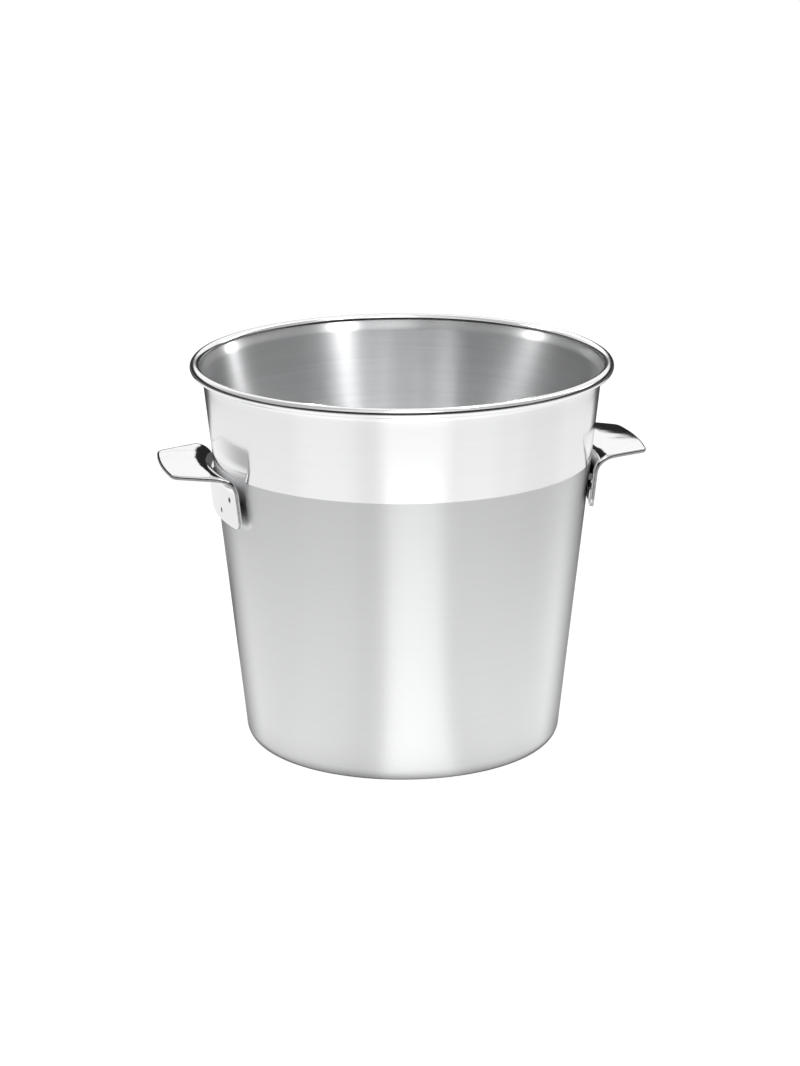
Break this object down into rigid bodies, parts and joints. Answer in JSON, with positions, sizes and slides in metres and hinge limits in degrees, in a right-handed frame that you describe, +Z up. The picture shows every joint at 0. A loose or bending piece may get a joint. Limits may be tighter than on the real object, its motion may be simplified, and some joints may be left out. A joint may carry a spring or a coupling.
{
  "type": "champagne bucket",
  "caption": "Tapered steel champagne bucket with a rolled rim, a polished band over a satin body, and two pressed thumb-tab handles welded to its wall.",
  "frame": {"origin": "on the bucket's axis, at the height of the surface it stands on", "axes": "+Z up along the bucket's axis, X through the middles of the two handles, Y across them"},
  "size_m": [0.2548, 0.22, 0.2044],
  "materials": {
    "satin_steel": "brushed round the bucket below a mirror-polished band, brushed inside",
    "polished_steel": "mirror-polished stainless steel",
    "weld_steel": "dull, as welded"
  },
  "bodies": {
    "root": {"bucket_shell": "satin_steel", "handle_left": "polished_steel", "handle_right": "polished_steel", "weld_nuggets_left": "weld_steel", "weld_nuggets_right": "weld_steel"}
  },
  "joints": []
}
